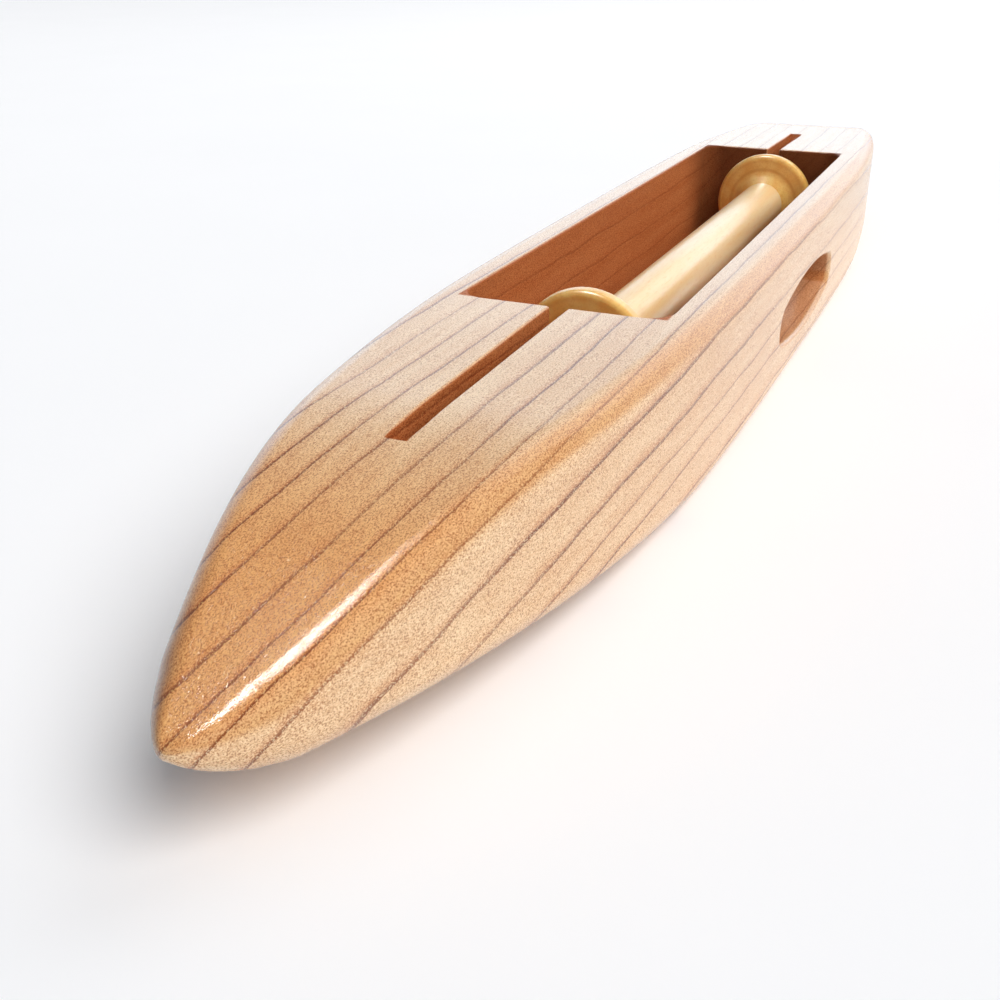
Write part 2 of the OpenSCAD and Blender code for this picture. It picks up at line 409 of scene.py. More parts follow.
for names, fz, cx, cz in ((("slot", "slot_wall"), slot_z, slot_cx, slot_cz),
                          (("kerf", "kerf_wall"), kerf_z, kerf_cx, kerf_cz)):
    pts = np.vstack([p for tag, p, _ in segs if tag in names])
    pts = pts[np.argsort(pts[:, 0], kind="stable")]
    if names[0] == "slot":
        pts = pts[pts[:, 0] <= -WELL_X + 1e-9]
    rows, nrm = [], []
    for x, y in pts:
        t = np.linspace(-1, 1, 5)
        z = float(min(fz(x), deck(np.array([x]))[0]))
        rows.append(np.column_stack([np.full(5, x), t * y, np.full(5, z)]))
        nrm.append(np.tile([cx - x, 0, cz - z], (5, 1)))
    B.grid(rows, nrm)

# well walls, bottom rounding and floor
RB = 0.9
levels = lambda x: np.array([FLOOR + RB, z_slot, z_kerf])
end_cols = np.linspace(1, -1, 5) * (SLOT_H + RV)


def wall_rows(p, n):
    zt = deck(p[:, 0]) - lip(p[:, 0])
    rows = [np.column_stack([p, np.full(len(p), z)]) for z in (FLOOR + RB, z_slot, z_kerf, 17.0)]
    rows.append(np.column_stack([p, zt]))
    return rows, [np.column_stack([-n, np.zeros(len(n))])] * 5


well_loop, well_n = [], []
for sgn in (1, -1):
    for tag, p, n in segs:
        if tag not in ("well", "long"):
            continue
        if sgn < 0:
            p, n = mirror(p, n)
        if tag == "well" or sgn > 0:
            B.grid(*wall_rows(p, n))
up = [(p, n) for tag, p, n in segs if tag in ("well", "long")]
left = np.column_stack([np.full(5, -WELL_X), -end_cols]), np.tile([-1.0, 0], (5, 1))
right = np.column_stack([np.full(5, WELL_X), end_cols]), np.tile([1.0, 0], (5, 1))
down = [mirror(p[::-1], n[::-1]) for p, n in up[::-1]]
loop_p = np.vstack([left[0]] + [p for p, _ in up] + [right[0]] + [p for p, _ in down])
loop_n = np.vstack([left[1]] + [n for _, n in up] + [right[1]] + [n for _, n in down])
gap = np.concatenate([[True], np.linalg.norm(np.diff(loop_p, axis=0), axis=1) > 1e-6])
loop_p, loop_n = loop_p[gap], loop_n[gap]
if np.linalg.norm(loop_p[0] - loop_p[-1]) < 1e-6:
    loop_p, loop_n = loop_p[:-1], loop_n[:-1]
for (p, n), zt in ((left, z_slot), (right, z_kerf)):   # under the slot and the kerf
    zs = [FLOOR + RB, zt] if zt == z_slot else [FLOOR + RB, z_slot, zt]
    rows = [np.column_stack([p, np.full(5, z)]) for z in zs]
    B.grid(rows, [np.column_stack([-n, np.zeros(5)])] * len(rows))
rows, nrm = [], []
for th in np.radians(np.linspace(0, 90, 6)):
    q = loop_p - loop_n * RB * (1 - math.cos(th))
    rows.append(np.column_stack([q, np.full(len(q), FLOOR + RB * (1 - math.sin(th)))]))
    nrm.append(np.column_stack([-loop_n * math.cos(th), np.full(len(q), math.sin(th))]))
B.grid(rows, nrm, closed=True)
v, f = triangulate(rows[-1][:, :2], [])
B.add(np.column_stack([v, np.full(len(v), FLOOR)]), np.tile([0, 0, 1], (len(v), 1)), f)

# ---------------------------------------------------------------- thread eye
ea, eb = EYE_L / 2, EYE_H / 2
ER = ((ea - EYE_R) ** 2 / (eb - EYE_R) + EYE_R + eb) / 2
xt = (ea - EYE_R) * ER / (ER - EYE_R)
am = math.degrees(math.asin(xt / ER))
parts = [arc(0, eb - ER, ER, 90 + am, 90 - am, 34), arc(ea - EYE_R, 0, EYE_R, 90 - am, -90 + am, 12),
         arc(0, ER - eb, ER, -90 + am, -90 - am, 34), arc(EYE_R - ea, 0, EYE_R, 270 - am, 90 + am, 12)]
eye_p = np.vstack([p[:-1] for p, _ in parts]) + [EYE_X, EYE_Z]
eye_n = np.vstack([n[:-1] for _, n in parts])
FE, FI = 0.75, 0.6


def front_y(x):
    return -form(x)[0]


rows, nrm = [], []
for th in np.radians(np.linspace(0, 90, 7)):
    q = eye_p + eye_n * FE * (1 - math.sin(th))
    y = front_y(q[:, 0]) + FE * (1 - math.cos(th))
    rows.append(np.column_stack([q[:, 0], y, q[:, 1]]))
    nrm.append(np.column_stack([-eye_n[:, 0] * math.sin(th), np.full(len(q), -math.cos(th)), -eye_n[:, 1] * math.sin(th)]))
eye_outer = eye_p + eye_n * FE
y_in = -(WELL_Y + FI)
for t in (0.33, 0.67):
    rows.append(np.column_stack([eye_p[:, 0], rows[6][:, 1] * (1 - t) + y_in * t, eye_p[:, 1]]))
    nrm.append(nrm[6])
for th in np.radians(np.linspace(90, 0, 7)):
    q = eye_p + eye_n * FI * (1 - math.sin(th))
    rows.append(np.column_stack([q[:, 0], np.full(len(q), -WELL_Y - FI * (1 - math.cos(th))), q[:, 1]]))
    nrm.append(np.column_stack([-eye_n[:, 0] * math.sin(th), np.full(len(q), math.cos(th)), -eye_n[:, 1] * math.sin(th)]))
B.grid(rows, nrm, closed=True)
eye_inner = eye_p + eye_n * FI

# outer front side with the eye
P2 = strips[2][0]
ia, ib = int(np.argmin(abs(xs - EYE_A))), int(np.argmin(abs(xs - EYE_B)))
top_e = P2[ia: ib + 1, 0][:, [0, 2]]
bot_e = P2[ia: ib + 1, -1][:, [0, 2]][::-1]
outer = np.vstack([top_e, P2[ib][1:-1][:, [0, 2]], bot_e, P2[ia][1:-1][::-1][:, [0, 2]]])
ex = np.array([(x, z) for x in xs[ia + 1: ib] for z in np.arange(3.6, 18.5, 1.4)])
far = np.min(np.linalg.norm(ex[:, None] - eye_outer[None], axis=2), axis=1) > 0.7
v, f = triangulate(outer, [eye_outer], ex[far & ~inside(ex, eye_outer)])
gy = (front_y(v[:, 0] + 1e-3) - front_y(v[:, 0] - 1e-3)) / 2e-3
B.add(np.column_stack([v[:, 0], front_y(v[:, 0]), v[:, 1]]), np.column_stack([gy, -1 + 0 * gy, 0 * gy]), f)

# inner front wall with the eye
tag, p, n = [s for s in segs if s[0] == "long"][0]
zt = deck(p[:, 0]) - lip(p[:, 0])
mids = np.array([z_slot, z_kerf, 17.0])
outer = np.vstack([np.column_stack([p[:, 0], zt]),
                   np.column_stack([np.full(3, p[-1, 0]), mids[::-1]]),
                   np.column_stack([p[::-1, 0], np.full(len(p), FLOOR + RB)]),
                   np.column_stack([np.full(3, p[0, 0]), mids])])
v, f = triangulate(outer, [eye_inner])
B.add(np.column_stack([v[:, 0], np.full(len(v), -WELL_Y), v[:, 1]]), np.tile([0, 1, 0], (len(v), 1)), f)

# outer back side with the plug's hole
P6 = strips[6][0]
ia, ib = int(np.argmin(abs(xs - PLUG_A))), int(np.argmin(abs(xs - PLUG_B)))
low_e = P6[ia: ib + 1, 0][:, [0, 2]]
top_e = P6[ia: ib + 1, -1][:, [0, 2]][::-1]
outer = np.vstack([low_e, P6[ib][1:-1][:, [0, 2]], top_e, P6[ia][1:-1][::-1][:, [0, 2]]])
FP = 0.14
plug_p, plug_n = arc(HINGE_X, AXIS_Z, PLUG_R, 0, 360, 48)
plug_p, plug_n = plug_p[:-1], plug_n[:-1]


def back_y(x):
    return form(x)[0]


v, f = triangulate(outer, [plug_p + plug_n * FP])
gy = (back_y(v[:, 0] + 1e-3) - back_y(v[:, 0] - 1e-3)) / 2e-3
B.add(np.column_stack([v[:, 0], back_y(v[:, 0]), v[:, 1]]), np.column_stack([-gy, 1 + 0 * gy, 0 * gy]), f)
rows, nrm = [], []
for th in np.radians(np.linspace(0, 90, 4)):
    q = plug_p + plug_n * FP * (1 - math.sin(th))
    rows.append(np.column_stack([q[:, 0], back_y(q[:, 0]) - FP * (1 - math.cos(th)), q[:, 1]]))
    nrm.append(np.column_stack([-plug_n[:, 0] * math.sin(th), np.full(len(q), math.cos(th)), -plug_n[:, 1] * math.sin(th)]))
rows.append(np.column_stack([plug_p[:, 0], np.full(len(plug_p), PIN_Y1), plug_p[:, 1]]))
nrm.append(nrm[-1])
B.grid(rows, nrm, closed=True)
B.grid([rows[-1], np.tile([HINGE_X, PIN_Y1, AXIS_Z], (len(plug_p), 1))],
       [np.tile([0, 1, 0], (len(plug_p), 1))] * 2, closed=True)
body = B.make("carved_body")
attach(body, "body")
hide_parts("shuttle_body")

# ---------------------------------------------------------------- plug and pin
S = Store()
rows, nrm = [], []
rr = PLUG_R - 0.015
for r, dy, a in ((0.02, 0, 0), (0.6, 0, 0), (1.2, 0, 0), (rr - 0.12, 0, 0), (rr - 0.035, -0.03, 45), (rr, -0.11, 90)):
    q, qn = arc(HINGE_X, AXIS_Z, r, 0, 360, 48)
    q, qn = q[:-1], qn[:-1]
    rows.append(np.column_stack([q[:, 0], back_y(q[:, 0]) - 0.01 + dy, q[:, 1]]))
    s, c = math.sin(math.radians(a)), math.cos(math.radians(a))
    nrm.append(np.column_stack([qn[:, 0] * s, np.full(len(q), c), qn[:, 1] * s]))
rows.append(np.column_stack([rows[-1][:, 0], np.full(48, PIN_Y1 + 0.02), rows[-1][:, 2]]))
nrm.append(nrm[-1])
S.grid(rows, nrm, closed=True)
S.grid([rows[-1], np.tile([HINGE_X, PIN_Y1 + 0.02, AXIS_Z], (48, 1))], [np.tile([0, -1, 0], (48, 1))] * 2, closed=True)
S.grid([np.tile([HINGE_X, rows[0][:, 1].mean(), AXIS_Z], (48, 1)), rows[0]], [nrm[0]] * 2, closed=True)
plug = S.make("hinge_plug")
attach(plug, "body")
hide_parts("pin_plug")


def turned(name, prof, axis="x", origin=(0, 0, 0), seg=128, flip=1, sharp=35):
    """A turned solid. prof is a closed loop of (radius, distance along the axis) in mm."""
    prof = np.array(prof, float)
    st = Store()
    n = len(prof)
    for i in range(n):
        a, b = prof[i], prof[(i + 1) % n]
        d = b - a
        L = np.linalg.norm(d)
        if L < 1e-9:
            continue
        edge_n = np.array([d[1], -d[0]]) / L

        def corner(k, other_is_next):
            # blends with the neighbouring edge where the turn is gentle
            c0 = prof[k]
            nb = prof[(k + 1) % n] - c0 if other_is_next else c0 - prof[(k - 1) % n]
            m = np.linalg.norm(nb)
            if m < 1e-9:
                return edge_n
            nn = np.array([nb[1], -nb[0]]) / m
            if np.dot(nn, edge_n) > math.cos(math.radians(sharp)):
                return nn * L + edge_n * m if False else nn + edge_n
            return edge_n

        na, nb_ = corner(i, False), corner((i + 1) % n, True)
        t = np.linspace(0, 2 * np.pi, seg, endpoint=False)
        rows, nrm = [], []
        steps = max(1, int(L / 3.0)) if abs(d[1]) > abs(d[0]) else 1
        for k in range(steps + 1):
            w = k / steps
            q = a * (1 - w) + b * w
            m = na * (1 - w) + nb_ * w
            rows.append(np.column_stack([np.full(seg, origin[0] + flip * q[1]), q[0] * np.cos(t), q[0] * np.sin(t)]))
            nrm.append(np.column_stack([np.full(seg, flip * m[1]), m[0] * np.cos(t), m[0] * np.sin(t)]))
            rows[-1][:, 1:] += [origin[1], origin[2]]
        st.grid(rows, nrm, closed=True)
    return st.make(name, origin)


def round_corner(a, b, c, r, n=6):
    """Points that replace corner b of the polyline a-b-c with an arc of radius r."""
    a, b, c = (np.array(q, float) for q in (a, b, c))
    u, v = (a - b) / np.linalg.norm(a - b), (c - b) / np.linalg.norm(c - b)
    half = math.acos(np.clip(np.dot(u, v), -1, 1)) / 2
    d = r / math.tan(half)
    p, q = b + u * d, b + v * d
    m = (u + v) / np.linalg.norm(u + v)
    o = b + m * r / math.sin(half)
    a0, a1 = math.atan2(*(p - o)[::-1]), math.atan2(*(q - o)[::-1])
    if a1 - a0 > math.pi:
        a1 -= 2 * math.pi
    if a0 - a1 > math.pi:
        a1 += 2 * math.pi
    return [tuple(o + r * np.array([math.cos(t), math.sin(t)])) for t in np.linspace(a0, a1, n)]


def rounded(pts, radii):
    out = []
    n = len(pts)
    for i, r in enumerate(radii):
        if r:
            out += round_corner(pts[i - 1], pts[i], pts[(i + 1) % n], r)
        else:
            out.append(tuple(pts[i]))
    return out


BOB0, BOB1 = -48.5, 53.5
FL_R, FL_T, HUB, BAR_R = 9.0, 2.6, 4.0, 4.0
flange_prof = rounded(
    [(0.88, 0), (FL_R - 0.05, 0), (FL_R, FL_T), (BAR_R + 1.6, FL_T + 0.12), (BAR_R - 0.02, HUB), (2.48, HUB), (2.48, HUB + 7), (0.88, HUB + 7)],
    [0.15, 0.75, 0.85, 2.2, 0, 0, 0.2, 0.1])
fl_a = turned("bobbin_flange_a", flange_prof, origin=(BOB0, 0, AXIS_Z))
fl_b = turned("bobbin_flange_b", flange_prof, origin=(BOB1, 0, AXIS_Z), flip=-1)
L = BOB1 - BOB0 - 2 * HUB
barrel = turned("bobbin_tube", rounded([(2.5, 0), (BAR_R, 0), (BAR_R, L), (2.5, L)], [0, 0.12, 0.12, 0]),
                origin=(BOB0 + HUB, 0, AXIS_Z))
for o, node, s in ((fl_a, "bobbin_flange_hinge_end", "flange_wood"), (fl_b, "bobbin_flange_free_end", "flange_wood"),
                   (barrel, "bobbin_barrel", "barrel_wood")):
    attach(o, "bobbin")
    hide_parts(node)

# ---------------------------------------------------------------- spindle
ROD_R, EYE_LUG, LUG_T = 0.8, 2.6, 0.7
ROD_END = WELL_X + 8
S = Store()
seg = 40
t = np.linspace(0, 2 * np.pi, seg, endpoint=False)
# the round rod swells out of the flattened eye, so its section goes from flat to round
rows, nrm = [], []
stations = [(2.0, 2.3, 0.84), (3.0, 1.7, 0.88), (4.2, 1.2, 0.95), (5.6, 1.03, 1.0), (7.5, 1.0, 1.0)]
stations += [(x, 1.0, 1.0) for x in np.arange(12, ROD_END - HINGE_X - 1.5, 6.0)] + [(ROD_END - HINGE_X - ROD_R, 1.0, 1.0)]
for x, rz, ry in stations:
    rows.append(np.column_stack([np.full(seg, HINGE_X + x), ry * ROD_R * np.cos(t), AXIS_Z + rz * ROD_R * np.sin(t)]))
    nrm.append(np.column_stack([np.zeros(seg), np.cos(t) / ry, np.sin(t) / rz]))
for a in np.radians(np.linspace(15, 88, 7)):
    rows.append(np.column_stack([np.full(seg, ROD_END - ROD_R + ROD_R * math.sin(a)), ROD_R * math.cos(a) * np.cos(t), AXIS_Z + ROD_R * math.cos(a) * np.sin(t)]))
    nrm.append(np.column_stack([np.full(seg, math.sin(a)), math.cos(a) * np.cos(t), math.cos(a) * np.sin(t)]))
S.grid(rows, nrm, closed=True)
S.grid([rows[-1], np.tile([ROD_END, 0, AXIS_Z], (seg, 1))], [nrm[-1], np.tile([1, 0, 0], (seg, 1))], closed=True)
S.grid([np.tile([HINGE_X + 2.0, 0, AXIS_Z], (seg, 1)), rows[0]], [np.tile([-1, 0, 0], (seg, 1))] * 2, closed=True)
# the eye: a flat ring with rounded edges
E0, hole_r = 0.2, 0.78
prof = [(hole_r, LUG_T - 0.12), (hole_r + 0.12, LUG_T), (EYE_LUG - E0, LUG_T), (EYE_LUG - 0.07, LUG_T - 0.1), (EYE_LUG, LUG_T - E0)]
prof = prof + [(r, -y) for r, y in prof[::-1]]
t = np.linspace(0, 2 * np.pi, 56, endpoint=False)
for i in range(len(prof)):
    (r0, y0), (r1, y1) = prof[i], prof[(i + 1) % len(prof)]
    e = np.array([-(y1 - y0), (r1 - r0)])
    e = e / np.linalg.norm(e)
    row = [np.column_stack([HINGE_X + r * np.cos(t), np.full(56, y), AXIS_Z + r * np.sin(t)]) for r, y in ((r0, y0), (r1, y1))]
    nn = np.column_stack([e[0] * np.cos(t), np.full(56, e[1]), e[0] * np.sin(t)])
    S.grid(row, [nn, nn], closed=True)
rod = S.make("spindle_rod", (HINGE_X, 0, AXIS_Z))
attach(rod, "spindle")
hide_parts("spindle")


# ---------------------------------------------------------------- materials
def srgb(r, g, b):
    def f(c):
        c = c / 255
        return c / 12.92 if c <= 0.04045 else ((c + 0.055) / 1.055) ** 2.4
    return (f(r), f(g), f(b), 1.0)


class Nodes:
    """Small helper to wire shader nodes."""

    def __init__(self, name):
        self.m = bpy.data.materials.new(name)
        self.m.use_nodes = True
        self.t = self.m.node_tree
        self.bsdf = self.t.nodes["Principled BSDF"]
        tc = self.t.nodes.new("ShaderNodeTexCoord")
        sc = self.t.nodes.new("ShaderNodeVectorMath")
        sc.operation = "SCALE"
        sc.inputs["Scale"].default_value = 1000.0
        self.link(tc.outputs["Object"], sc.inputs[0])
        self.p = sc.outputs[0]
        sep = self.t.nodes.new("ShaderNodeSeparateXYZ")
        self.link(self.p, sep.inputs[0])
        self.x, self.y, self.z = sep.outputs[:3]

    def link(self, a, b):
        self.t.links.new(a, b)

    def put(self, sock, val):
        if isinstance(val, (int, float)):
            sock.default_value = val
        elif isinstance(val, (tuple, list)):
            sock.default_value = val
        else:
            self.link(val, sock)

    def math(self, op, a, b=0.0, c=0.0, clamp=False):
        n = self.t.nodes.new("ShaderNodeMath")
        n.operation, n.use_clamp = op, clamp
        for i, q in enumerate((a, b, c)):
            self.put(n.inputs[i], q)
        return n.outputs[0]

    def mad(self, a, b, c):
        return self.math("MULTIPLY_ADD", a, b, c)

    def vec(self, x, y, z):
        n = self.t.nodes.new("ShaderNodeCombineXYZ")
        for i, q in enumerate((x, y, z)):
            self.put(n.inputs[i], q)
        return n.outputs[0]

    def scaled(self, sx, sy, sz, p=None):
        n = self.t.nodes.new("ShaderNodeVectorMath")
        n.operation = "MULTIPLY"
        self.link(self.p if p is None else p, n.inputs[0])
        n.inputs[1].default_value = (sx, sy, sz)
        return n.outputs[0]

    def noise(self, vec, scale=1.0, detail=2.0, rough=0.5, lac=2.0, dist=0.0):
        n = self.t.nodes.new("ShaderNodeTexNoise")
        self.link(vec, n.inputs["Vector"])
        n.inputs["Scale"].default_value = scale
        n.inputs["Detail"].default_value = detail
        n.inputs["Roughness"].default_value = rough
        n.inputs["Lacunarity"].default_value = lac
        n.inputs["Distortion"].default_value = dist
        return n.outputs["Fac"] if "Fac" in n.outputs else n.outputs[0]

    def remap(self, v, a, b, c=0.0, d=1.0, kind="SMOOTHSTEP"):
        n = self.t.nodes.new("ShaderNodeMapRange")
        n.interpolation_type = kind
        n.clamp = True
        self.put(n.inputs["Value"], v)
        for k, q in (("From Min", a), ("From Max", b), ("To Min", c), ("To Max", d)):
            n.inputs[k].default_value = q
        return n.outputs["Result"]

    def mix(self, fac, a, b, kind="MIX"):
        n = self.t.nodes.new("ShaderNodeMix")
        n.data_type, n.blend_type = "RGBA", kind
        self.put(n.inputs["Factor"], fac)
        self.put(n.inputs["A"] if False else n.inputs[6], a)
        self.put(n.inputs[7], b)
        return n.outputs[2]

    def curve(self, v, pts):
        n = self.t.nodes.new("ShaderNodeFloatCurve")
        c = n.mapping.curves[0]
        while len(c.points) > 2:
            c.points.remove(c.points[1])
        c.points[0].location, c.points[1].location = pts[0], pts[-1]
        for q in pts[1:-1]:
            c.points.new(*q)
        for q in c.points:
            q.handle_type = "VECTOR"
        n.mapping.update()
        self.put(n.inputs["Value"], v)
        return n.outputs[0]

    def bump(self, height, strength, distance, normal=None):
        n = self.t.nodes.new("ShaderNodeBump")
        n.inputs["Strength"].default_value = strength
        n.inputs["Distance"].default_value = distance
        self.link(height, n.inputs["Height"])
        if normal is not None:
            self.link(normal, n.inputs["Normal"])
        return n.outputs[0]

    def set(self, **k):
        for name, v in k.items():
            self.put(self.bsdf.inputs[name.replace("_", " ")], v)


# growth lines: planes y + 0.8 z = c, at these values of c in millimetres
LINES = [-40, -36.3, -32.6, -29.2, -25.8, -22.6, -19.4, -16.2, -12.6, -10, -7, -2.8, 2.0, 5.5, 8.6, 12.0, 16.8, 20.4, 23.8, 27.3, 30.9, 34.6, 38.2, 42]


def wood_body():
    k = Nodes("body_wood_grain")
    wave1 = k.noise(k.scaled(0.011, 0.03, 0.03), 1.0, 1.0, 0.4)
    wave2 = k.noise(k.scaled(0.07, 0.22, 0.22), 1.0, 2.0, 0.5)
    wave3 = k.noise(k.scaled(0.45, 0.9, 0.9), 1.0, 1.0, 0.5)
    c = k.mad(k.z, 0.8, k.y)
    c = k.math("ADD", c, k.mad(wave1, 2.4, -1.2))
    c = k.math("ADD", c, k.mad(wave2, 0.9, -0.45))
    c = k.math("ADD", c, k.mad(wave3, 0.10, -0.05))
    lo, hi = LINES[0], LINES[-1]
    n = len(LINES) - 1
    u = k.math("DIVIDE", k.math("SUBTRACT", c, float(lo)), float(hi - lo))
    ph = k.curve(u, [((q - lo) / (hi - lo), i / n) for i, q in enumerate(LINES)])
    ring_id = k.math("MULTIPLY", ph, float(n))
    fr = k.math("FRACT", ring_id)
    rid = k.math("FLOOR", ring_id)
    # strength and width of each line vary along the board and from ring to ring
    var = k.noise(k.vec(k.math("MULTIPLY", k.x, 0.035), k.math("MULTIPLY", rid, 3.7), 0.3), 1.0, 2.0, 0.6)
    core = k.math("MULTIPLY", k.remap(fr, 0.0, 0.03), k.remap(fr, 0.055, 0.125, 1.0, 0.0))
    halo = k.math("MULTIPLY", k.remap(fr, 0.0, 0.03), k.remap(fr, 0.05, 0.32, 1.0, 0.0))
    before = k.remap(fr, 0.72, 1.0, 0.0, 1.0)
    # masks of the cut walls inside the well, slot and eye
    ax, ay = k.math("ABSOLUTE", k.x), k.math("ABSOLUTE", k.y)
    over = k.math("GREATER_THAN", k.z, 1.5)
    well = k.math("MULTIPLY", k.remap(ax, WELL_X + 0.25, WELL_X + 0.02), k.remap(ay, WELL_Y + 0.25, WELL_Y + 0.02))
    slot_m = k.math("MULTIPLY", k.remap(ay, SLOT_H + 0.16, SLOT_H + 0.01),
                    k.math("MULTIPLY", k.math("GREATER_THAN", k.x, SLOT_END + 0.02), k.math("LESS_THAN", k.x, KERF_END - 0.02)))
    deep = k.math("MULTIPLY", k.math("MAXIMUM", well, slot_m), over)
    eyem = k.math("MULTIPLY", k.remap(k.y, -18.2, -17.5), k.remap(k.y, -13.3, -13.0, 1.0, 0.0))
    eyem = k.math("MULTIPLY", eyem, k.math("LESS_THAN", k.math("ABSOLUTE", k.math("SUBTRACT", k.x, EYE_X)), EYE_L / 2 + 1))
    eyem = k.math("MULTIPLY", eyem, k.math("MULTIPLY", k.math("GREATER_THAN", k.z, 4.0), k.math("LESS_THAN", k.z, 14.5)))
    deep = k.math("MAXIMUM", deep, k.math("MULTIPLY", eyem, 0.6))
    line_s = k.math("MULTIPLY", k.remap(var, 0.28, 0.62, 0.45, 1.0, "LINEAR"), k.mad(deep, -0.6, 1.0))
    line_s = k.math("MULTIPLY", line_s, k.remap(k.x, -80.0, 50.0, 1.0, 0.55))
    # tones
    tone = k.noise(k.scaled(0.012, 0.16, 0.16), 1.0, 3.0, 0.55)
    tone2 = k.noise(k.scaled(0.05, 0.6, 0.6), 1.0, 3.0, 0.6)
    fleck = k.noise(k.scaled(5.2, 7.6, 7.6), 1.0, 1.0, 0.6)
    fleck2 = k.noise(k.scaled(0.9, 5.0, 5.0), 1.0, 3.0, 0.7)
    pore = k.noise(k.scaled(0.35, 7.0, 7.0), 1.0, 2.0, 0.6)
    base = k.mix(k.remap(tone, 0.3, 0.7), srgb(230, 188, 144), srgb(238, 202, 159))
    base = k.mix(k.math("MULTIPLY", k.remap(tone2, 0.35, 0.7), 0.5), base, srgb(217, 165, 117))
    base = k.mix(k.math("MULTIPLY", before, 0.14), base, srgb(196, 134, 88))
    base = k.mix(k.math("MULTIPLY", k.math("MULTIPLY", halo, line_s), 0.60), base, srgb(192, 108, 54))
    base = k.mix(k.math("MULTIPLY", k.math("MULTIPLY", core, line_s), 0.94), base, srgb(98, 36, 8))
    # close speckle of pores and rays
    base = k.mix(k.remap(fleck, 0.50, 0.32, 0.0, 0.66), base, srgb(150, 84, 42))
    base = k.mix(k.remap(fleck, 0.51, 0.66, 0.0, 0.58), base, srgb(255, 229, 186))
    base = k.mix(k.remap(fleck2, 0.54, 0.72, 0.0, 0.35), base, srgb(160, 96, 54))
    base = k.mix(k.remap(pore, 0.58, 0.76, 0.0, 0.30), base, srgb(146, 86, 50))
    # painted shade: the walls inside the well, slot and eye are coloured darker and redder
    base = k.mix(deep, base, (0.64, 0.315, 0.175, 1.0), "MULTIPLY")
    # painted shade: the far end wall of the well is coloured much darker, nearly black
    far_wall_painted_shade = k.math("MULTIPLY", k.math("MULTIPLY", well, over), k.remap(k.x, 38.0, 56.4))
    base = k.mix(k.math("MULTIPLY", far_wall_painted_shade, 0.6), base, srgb(66, 26, 12))
    # painted shade: the sloping tops of the noses are coloured darker and warmer than the flat deck
    nt = k.t.nodes.new("ShaderNodeTexCoord")
    ns = k.t.nodes.new("ShaderNodeSeparateXYZ")
    k.link(nt.outputs["Normal"], ns.inputs[0])
    nose_top_painted_shade = k.math("MULTIPLY", k.remap(ns.outputs[2], 0.50, 0.94), k.remap(k.math("ABSOLUTE", k.x), 88.0, 115.0))
    base = k.mix(nose_top_painted_shade, base, srgb(250, 216, 170), "MULTIPLY")
    # painted shade: the rounded deck edges are coloured a little darker
    edge_painted_shade = k.math("MULTIPLY", k.remap(ns.outputs[2], 0.20, 0.50), k.remap(ns.outputs[2], 0.985, 0.88))
    edge_painted_shade = k.math("MULTIPLY", edge_painted_shade, k.mad(nose_top_painted_shade, -0.85, 1.0))
    base = k.mix(edge_painted_shade, base, srgb(240, 220, 194), "MULTIPLY")
    # painted shade: the backs of the tips, the faces towards +y near the ends, are coloured darker
    tip_back_painted_shade = k.math("MULTIPLY", k.remap(k.math("ABSOLUTE", k.x), 112.0, 124.0), k.remap(ns.outputs[1], 0.05, 0.75))
    base = k.mix(k.math("MULTIPLY", tip_back_painted_shade, 0.9), base, srgb(176, 160, 146), "MULTIPLY")
    # surface
    rough = k.math("ADD", k.mad(fleck2, 0.16, 0.42), k.mad(tone, 0.08, -0.04))
    rough = k.math("ADD", rough, k.math("MULTIPLY", deep, 0.12))
    height = k.math("ADD", k.mad(pore, 0.5, 0.0), k.mad(fleck, 0.35, 0.0))
    height = k.math("SUBTRACT", height, k.math("MULTIPLY", core, 0.5))
    nrm = k.bump(height, 0.5, 0.00008)
    skin_h = k.math("ADD", k.mad(pore, 0.6, 0.0), k.mad(fleck, 0.5, 0.0))
    wavy = k.noise(k.scaled(0.05, 0.16, 0.16), 1.0, 1.0, 0.5)
    nrm = k.bump(wavy, 0.25, 0.0006, nrm)
    coat_n = k.bump(skin_h, 0.60, 0.00006)
    k.set(Base_Color=base, Roughness=rough, IOR=1.5, Normal=nrm, Coat_Normal=coat_n)
    k.bsdf.inputs["Specular IOR Level"].default_value = 0.08
    k.set(Coat_Weight=k.mad(deep, -0.7, 0.80))
    k.bsdf.inputs["Coat Roughness"].default_value = 0.09
    k.bsdf.inputs["Coat IOR"].default_value = 1.46
    return k.m


